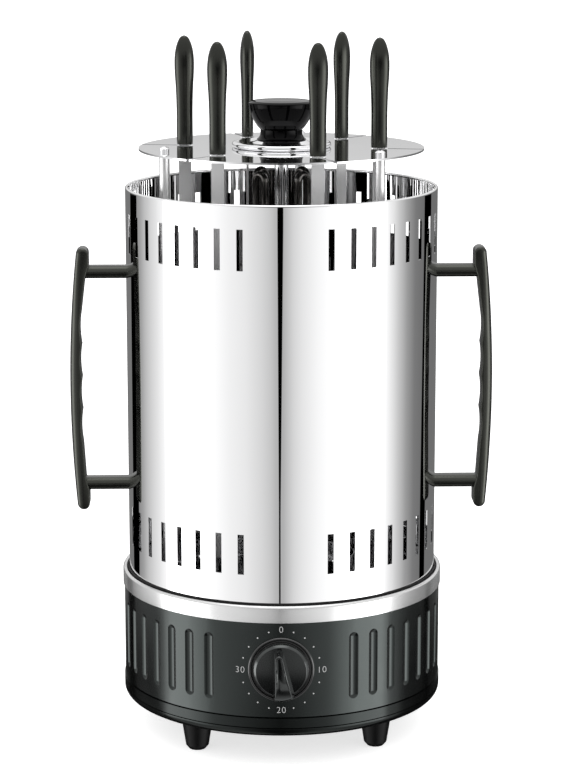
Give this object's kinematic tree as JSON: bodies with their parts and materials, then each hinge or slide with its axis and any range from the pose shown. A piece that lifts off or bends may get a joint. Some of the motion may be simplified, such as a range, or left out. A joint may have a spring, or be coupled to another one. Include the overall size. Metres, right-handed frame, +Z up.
{
  "type": "electric skewer grill",
  "caption": "upright electric skewer grill with a geared ring of turning skewers round a tube heater, a lift-off mirror shell and a timer dial",
  "frame": {"origin": "on the floor under the middle of the round base", "axes": "+Z up, -Y to the front where the timer dial is, +X to the right of someone facing the dial"},
  "size_m": [0.2754, 0.2382, 0.4534],
  "materials": {
    "base_plastic": "satin black moulded plastic with a fine even grain",
    "foot_rubber": "dull dark rubber",
    "screw_steel": "plain turned and plated steel",
    "brushed_trim": "bright ring brushed around its circumference",
    "plate_steel": "bright rolled stainless sheet and bar",
    "zinc_steel": "bright zinc plate",
    "gear_nylon": "natural moulded gear plastic",
    "bush_plastic": "low-friction heat-proof plastic",
    "inner_plastic": "plain black moulded plastic",
    "terminal_plastic": "ivory terminal moulding",
    "dial_black": "black ABS with printed scale",
    "dial_knob": "semi-gloss black moulded plastic",
    "heater_ceramic": "dark pressed ceramic",
    "heater_sheath": "dark oxidised tube, slightly glossy",
    "saucer_steel": "polished pressed steel",
    "gloss_knob": "deep gloss black",
    "shell_chrome": "mirror polished sheet",
    "handle_plastic": "satin black heat-proof plastic",
    "cup_steel": "bright pressed cup",
    "blade_steel": "bright flat strip",
    "grip_plastic": "soft dull black plastic"
  },
  "bodies": {
    "base": {"base_drum": "base_plastic", "bottom_pan": "base_plastic", "cap_nuts": "screw_steel", "centre_tube": "plate_steel", "cord_gland": "inner_plastic", "deck": "plate_steel", "dial_bezel": "dial_black", "feet": "foot_rubber", "foot_screws": "screw_steel", "gear_hub": "gear_nylon", "gear_plate": "zinc_steel", "heater_base": "heater_ceramic", "heating_element": "heater_sheath", "knob_saucer": "saucer_steel", "knob_stud": "screw_steel", "motor_case": "zinc_steel", "motor_screws": "screw_steel", "pan_screws": "screw_steel", "posts": "plate_steel", "skewer_plate": "plate_steel", "spacers": "screw_steel", "spindle_bushes": "bush_plastic", "terminal_block": "terminal_plastic", "timer_case": "inner_plastic", "timer_nut": "screw_steel", "top_knob": "gloss_knob", "trim_ring": "brushed_trim"},
    "shell": {"shell": "shell_chrome", "handle_left": "handle_plastic", "handle_right": "handle_plastic", "handle_screws": "screw_steel"},
    "timer": {"timer_knob": "dial_knob", "timer_shaft": "screw_steel"},
    "ring_gear": {"ring_gear": "gear_nylon"},
    "spindle_1": {"spindle_gear_1": "gear_nylon", "drip_cup_1": "cup_steel"},
    "skewer_1": {"skewer_blade_1": "blade_steel", "skewer_handle_1": "grip_plastic"},
    "spindle_2": {"spindle_gear_2": "gear_nylon", "drip_cup_2": "cup_steel"},
    "skewer_2": {"skewer_blade_2": "blade_steel", "skewer_handle_2": "grip_plastic"},
    "spindle_3": {"spindle_gear_3": "gear_nylon", "drip_cup_3": "cup_steel", "motor_shaft": "screw_steel"},
    "skewer_3": {"skewer_blade_3": "blade_steel", "skewer_handle_3": "grip_plastic"},
    "spindle_4": {"spindle_gear_4": "gear_nylon", "drip_cup_4": "cup_steel"},
    "skewer_4": {"skewer_blade_4": "blade_steel", "skewer_handle_4": "grip_plastic"},
    "spindle_5": {"spindle_gear_5": "gear_nylon", "drip_cup_5": "cup_steel"},
    "skewer_5": {"skewer_blade_5": "blade_steel", "skewer_handle_5": "grip_plastic"},
    "spindle_6": {"spindle_gear_6": "gear_nylon", "drip_cup_6": "cup_steel"},
    "skewer_6": {"skewer_blade_6": "blade_steel", "skewer_handle_6": "grip_plastic"}
  },
  "joints": [
    {"name": "shell_lift", "type": "slide", "parent": "base", "child": "shell", "axis": [0, 0, 1], "range_m": [0, 0.36]},
    {"name": "timer_turn", "type": "hinge", "parent": "base", "child": "timer", "pos_m": [0, -0.104, 0.0669], "axis": [0, 1, 0], "range_deg": [0, 342]},
    {"name": "ring_spin", "type": "hinge", "parent": "base", "child": "ring_gear", "pos_m": [0, 0, 0.0915], "axis": [0, 0, 1], "continuous": true},
    {"name": "spindle_spin_1", "type": "hinge", "parent": "base", "child": "spindle_1", "pos_m": [0.02278, -0.05874, 0.0915], "axis": [0, 0, 1], "continuous": true},
    {"name": "spindle_spin_2", "type": "hinge", "parent": "base", "child": "spindle_2", "pos_m": [0.06226, -0.00964, 0.0915], "axis": [0, 0, 1], "continuous": true},
    {"name": "spindle_spin_3", "type": "hinge", "parent": "base", "child": "spindle_3", "pos_m": [0.03948, 0.0491, 0.0915], "axis": [0, 0, 1], "continuous": true},
    {"name": "spindle_spin_4", "type": "hinge", "parent": "base", "child": "spindle_4", "pos_m": [-0.02278, 0.05874, 0.0915], "axis": [0, 0, 1], "continuous": true},
    {"name": "spindle_spin_5", "type": "hinge", "parent": "base", "child": "spindle_5", "pos_m": [-0.06226, 0.00964, 0.0915], "axis": [0, 0, 1], "continuous": true},
    {"name": "spindle_spin_6", "type": "hinge", "parent": "base", "child": "spindle_6", "pos_m": [-0.03948, -0.0491, 0.0915], "axis": [0, 0, 1], "continuous": true},
    {"name": "skewer_lift_1", "type": "slide", "parent": "spindle_1", "child": "skewer_1", "axis": [0, 0, 1], "range_m": [0, 0.28]},
    {"name": "skewer_lift_2", "type": "slide", "parent": "spindle_2", "child": "skewer_2", "axis": [0, 0, 1], "range_m": [0, 0.28]},
    {"name": "skewer_lift_3", "type": "slide", "parent": "spindle_3", "child": "skewer_3", "axis": [0, 0, 1], "range_m": [0, 0.28]},
    {"name": "skewer_lift_4", "type": "slide", "parent": "spindle_4", "child": "skewer_4", "axis": [0, 0, 1], "range_m": [0, 0.28]},
    {"name": "skewer_lift_5", "type": "slide", "parent": "spindle_5", "child": "skewer_5", "axis": [0, 0, 1], "range_m": [0, 0.28]},
    {"name": "skewer_lift_6", "type": "slide", "parent": "spindle_6", "child": "skewer_6", "axis": [0, 0, 1], "range_m": [0, 0.28]}
  ],
  "couplings": [
    {"joint": "spindle_spin_1", "follows": "ring_spin", "ratio": -2.5},
    {"joint": "spindle_spin_2", "follows": "ring_spin", "ratio": -2.5},
    {"joint": "spindle_spin_3", "follows": "ring_spin", "ratio": -2.5},
    {"joint": "spindle_spin_4", "follows": "ring_spin", "ratio": -2.5},
    {"joint": "spindle_spin_5", "follows": "ring_spin", "ratio": -2.5},
    {"joint": "spindle_spin_6", "follows": "ring_spin", "ratio": -2.5}
  ]
}
